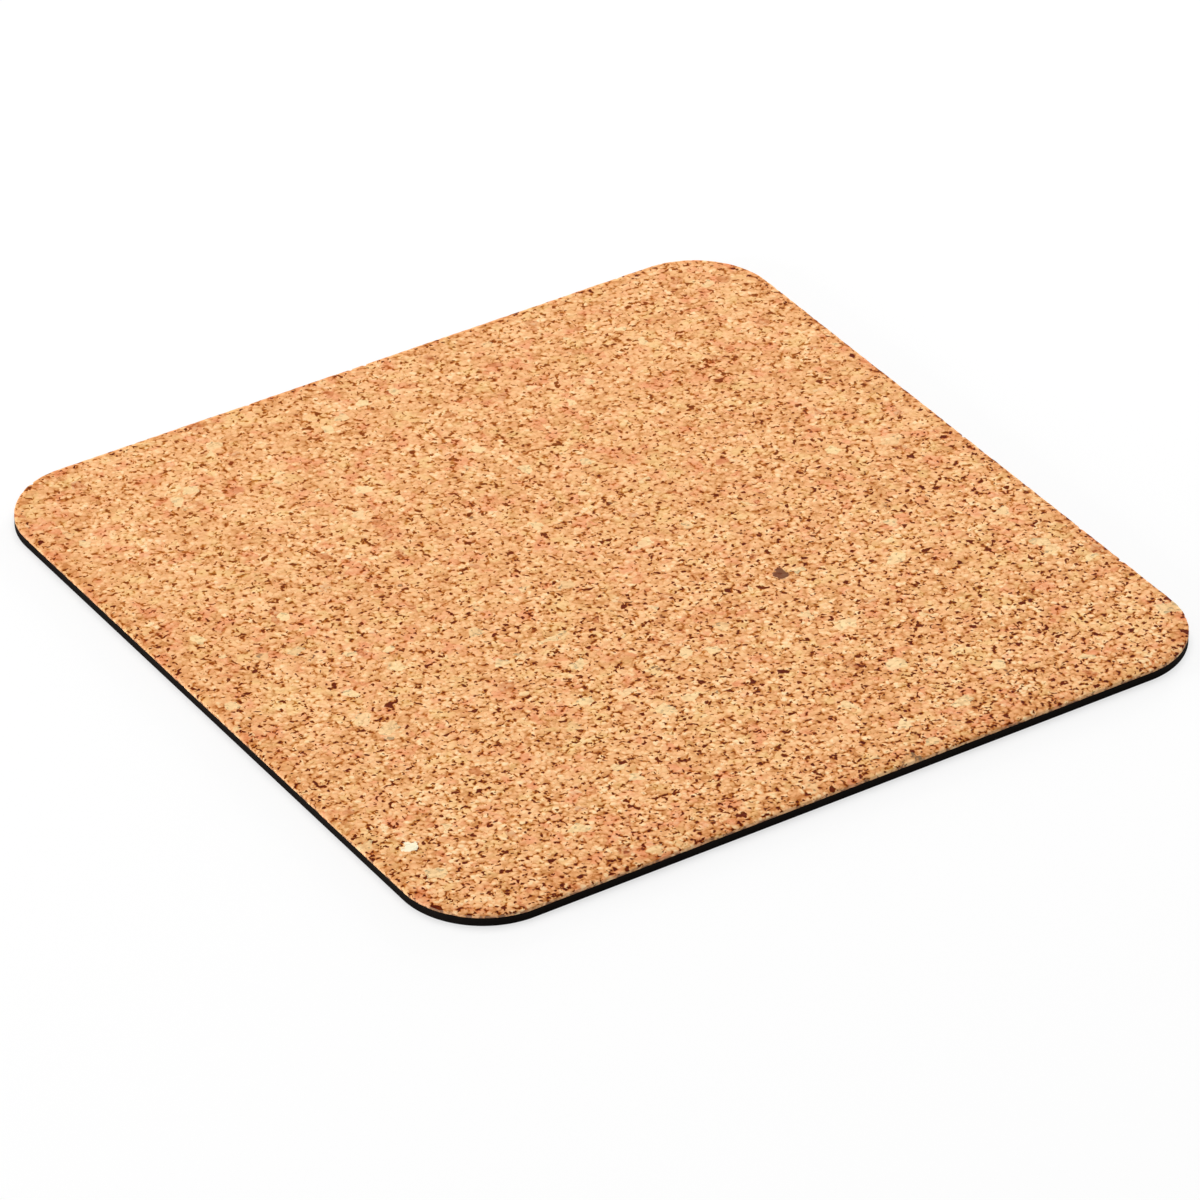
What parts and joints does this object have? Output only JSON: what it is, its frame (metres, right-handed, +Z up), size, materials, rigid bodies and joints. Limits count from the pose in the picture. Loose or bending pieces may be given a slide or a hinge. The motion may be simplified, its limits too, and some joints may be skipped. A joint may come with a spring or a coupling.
{
  "type": "mouse pad",
  "caption": "Flat square mouse pad with round corners: a cork granule face bonded to a black foam rubber base, die-cut through with a rolled top edge.",
  "frame": {"origin": "middle of the underside, on the desk", "axes": "+X to the right along the front edge, +Y from the front edge to the back edge, +Z up out of the cork face"},
  "size_m": [0.2, 0.2, 0.003],
  "materials": {
    "foam_rubber": "matte black foam rubber with fine cells at the cut and a fine grip emboss underneath",
    "glue": "thin dark glue line",
    "cork": "pressed cork granules in peach, tan and cream with dark brown specks, matte"
  },
  "bodies": {
    "root": {"rubber_base": "foam_rubber", "bond_film": "glue", "cork_sheet": "cork"}
  },
  "joints": []
}
